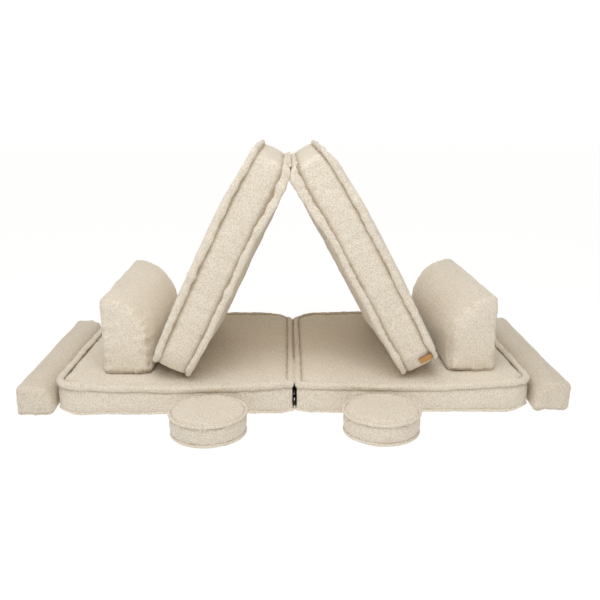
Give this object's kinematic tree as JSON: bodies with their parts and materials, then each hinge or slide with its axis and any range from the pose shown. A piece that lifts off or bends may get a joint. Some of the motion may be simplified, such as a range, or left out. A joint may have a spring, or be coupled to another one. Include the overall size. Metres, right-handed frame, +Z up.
{
  "type": "modular foam play sofa",
  "caption": "Modular foam play sofa in cream boucle: a folding base, a folding tent, two tall and two low bolsters and two round cushions.",
  "frame": {"origin": "on the floor, under the middle of the whole set as it stands", "axes": "+X to the right seen from the front, along the row of pieces; +Y from the front to the back; +Z up"},
  "size_m": [1.868, 1.0966, 0.8765],
  "materials": {
    "boucle": "matte",
    "piping": "matte",
    "foam": "matte",
    "tape": "matte",
    "cord": "matte",
    "slider": "satin",
    "leather": "satin"
  },
  "bodies": {
    "base": {"base_hinge_cord": "cord", "base_left_cover": "boucle", "base_left_foam": "foam", "base_left_piping_low": "piping", "base_left_piping_high": "piping", "base_left_zip_tape": "tape", "base_right_cover": "boucle", "base_right_foam": "foam", "base_right_piping_low": "piping", "base_right_piping_high": "piping", "base_right_zip_tape": "tape"},
    "tent_hinge": {"tent_hinge_cord": "cord"},
    "tent_left": {"tent_left_cover": "boucle", "tent_left_foam": "foam", "tent_left_piping_low": "piping", "tent_left_piping_high": "piping", "tent_left_zip_tape": "tape"},
    "tent_right": {"tent_right_cover": "boucle", "tent_right_foam": "foam", "tent_right_piping_low": "piping", "tent_right_piping_high": "piping", "tent_right_zip_tape": "tape", "leather_tag": "leather"},
    "base_left_slider": {"base_left_zip_slider": "slider"},
    "base_right_slider": {"base_right_zip_slider": "slider"},
    "tent_left_slider": {"tent_left_zip_slider": "slider"},
    "tent_right_slider": {"tent_right_zip_slider": "slider"},
    "tall_bolster_left": {"tall_bolster_left_cover": "boucle", "tall_bolster_left_foam": "foam", "tall_bolster_left_zip_tape": "tape"},
    "tall_bolster_left_slider": {"tall_bolster_left_zip_slider": "slider"},
    "tall_bolster_right": {"tall_bolster_right_cover": "boucle", "tall_bolster_right_foam": "foam", "tall_bolster_right_zip_tape": "tape"},
    "tall_bolster_right_slider": {"tall_bolster_right_zip_slider": "slider"},
    "low_bolster_left": {"low_bolster_left_cover": "boucle", "low_bolster_left_foam": "foam", "low_bolster_left_zip_tape": "tape"},
    "low_bolster_left_slider": {"low_bolster_left_zip_slider": "slider"},
    "low_bolster_right": {"low_bolster_right_cover": "boucle", "low_bolster_right_foam": "foam", "low_bolster_right_zip_tape": "tape"},
    "low_bolster_right_slider": {"low_bolster_right_zip_slider": "slider"},
    "round_cushion_left": {"round_cushion_left_cover": "boucle", "round_cushion_left_foam": "foam", "round_cushion_left_piping_low": "piping", "round_cushion_left_piping_high": "piping", "round_cushion_left_zip_tape": "tape"},
    "round_cushion_left_slider": {"round_cushion_left_zip_slider": "slider"},
    "round_cushion_right": {"round_cushion_right_cover": "boucle", "round_cushion_right_foam": "foam", "round_cushion_right_piping_low": "piping", "round_cushion_right_piping_high": "piping", "round_cushion_right_zip_tape": "tape"},
    "round_cushion_right_slider": {"round_cushion_right_zip_slider": "slider"}
  },
  "joints": [
    {"name": "tent_lift", "type": "slide", "parent": "base", "child": "tent_hinge", "axis": [0, 0, 1], "range_m": [0, 0.3]},
    {"name": "tent_left_fold", "type": "hinge", "parent": "tent_hinge", "child": "tent_left", "pos_m": [-0.01, 0.1297, 0.82091], "axis": [0, -1, 0], "range_deg": [0, 24]},
    {"name": "tent_right_fold", "type": "hinge", "parent": "tent_hinge", "child": "tent_right", "pos_m": [-0.01, 0.1297, 0.82091], "axis": [0, 1, 0], "range_deg": [0, 26.09]},
    {"name": "base_left_zip", "type": "slide", "parent": "base", "child": "base_left_slider", "axis": [1, 0, 0], "range_m": [0, 0.496]},
    {"name": "base_right_zip", "type": "slide", "parent": "base", "child": "base_right_slider", "axis": [-1, 0, 0], "range_m": [0, 0.496]},
    {"name": "tent_left_zip", "type": "slide", "parent": "tent_left", "child": "tent_left_slider", "axis": [0.4384, 0, 0.8988], "range_m": [0, 0.481]},
    {"name": "tent_right_zip", "type": "slide", "parent": "tent_right", "child": "tent_right_slider", "axis": [-0.4709, 0, 0.8822], "range_m": [0, 0.496]},
    {"name": "tall_bolster_left_lift", "type": "slide", "parent": "base", "child": "tall_bolster_left", "axis": [0, 0, 1], "range_m": [0, 0.35]},
    {"name": "tall_bolster_left_zip", "type": "slide", "parent": "tall_bolster_left", "child": "tall_bolster_left_slider", "axis": [0, 1, 0], "range_m": [0, 0.466]},
    {"name": "tall_bolster_right_lift", "type": "slide", "parent": "base", "child": "tall_bolster_right", "axis": [0, 0, 1], "range_m": [0, 0.35]},
    {"name": "tall_bolster_right_zip", "type": "slide", "parent": "tall_bolster_right", "child": "tall_bolster_right_slider", "axis": [-0.0262, 0.9997, 0], "range_m": [0, 0.466]},
    {"name": "low_bolster_left_lift", "type": "slide", "parent": "base", "child": "low_bolster_left", "axis": [0, 0, 1], "range_m": [0, 0.3]},
    {"name": "low_bolster_left_zip", "type": "slide", "parent": "low_bolster_left", "child": "low_bolster_left_slider", "axis": [0, 1, 0], "range_m": [0, 0.556]},
    {"name": "low_bolster_right_lift", "type": "slide", "parent": "base", "child": "low_bolster_right", "axis": [0, 0, 1], "range_m": [0, 0.3]},
    {"name": "low_bolster_right_zip", "type": "slide", "parent": "low_bolster_right", "child": "low_bolster_right_slider", "axis": [0, 1, 0], "range_m": [0, 0.556]},
    {"name": "round_cushion_left_lift", "type": "slide", "parent": "base", "child": "round_cushion_left", "axis": [0, 0, 1], "range_m": [0, 0.25]},
    {"name": "round_cushion_left_zip", "type": "hinge", "parent": "round_cushion_left", "child": "round_cushion_left_slider", "pos_m": [-0.272, -0.4233, 0.0375], "axis": [0, 0, 1], "range_deg": [0, 102.86]},
    {"name": "round_cushion_right_lift", "type": "slide", "parent": "base", "child": "round_cushion_right", "axis": [0, 0, 1], "range_m": [0, 0.25]},
    {"name": "round_cushion_right_zip", "type": "hinge", "parent": "round_cushion_right", "child": "round_cushion_right_slider", "pos_m": [0.272, -0.4233, 0.0375], "axis": [0, 0, 1], "range_deg": [0, 102.86]}
  ],
  "couplings": [
    {"joint": "tent_left_fold", "follows": "tent_lift", "rad_per_m": 1.3963},
    {"joint": "tent_right_fold", "follows": "tent_lift", "rad_per_m": 1.518}
  ]
}
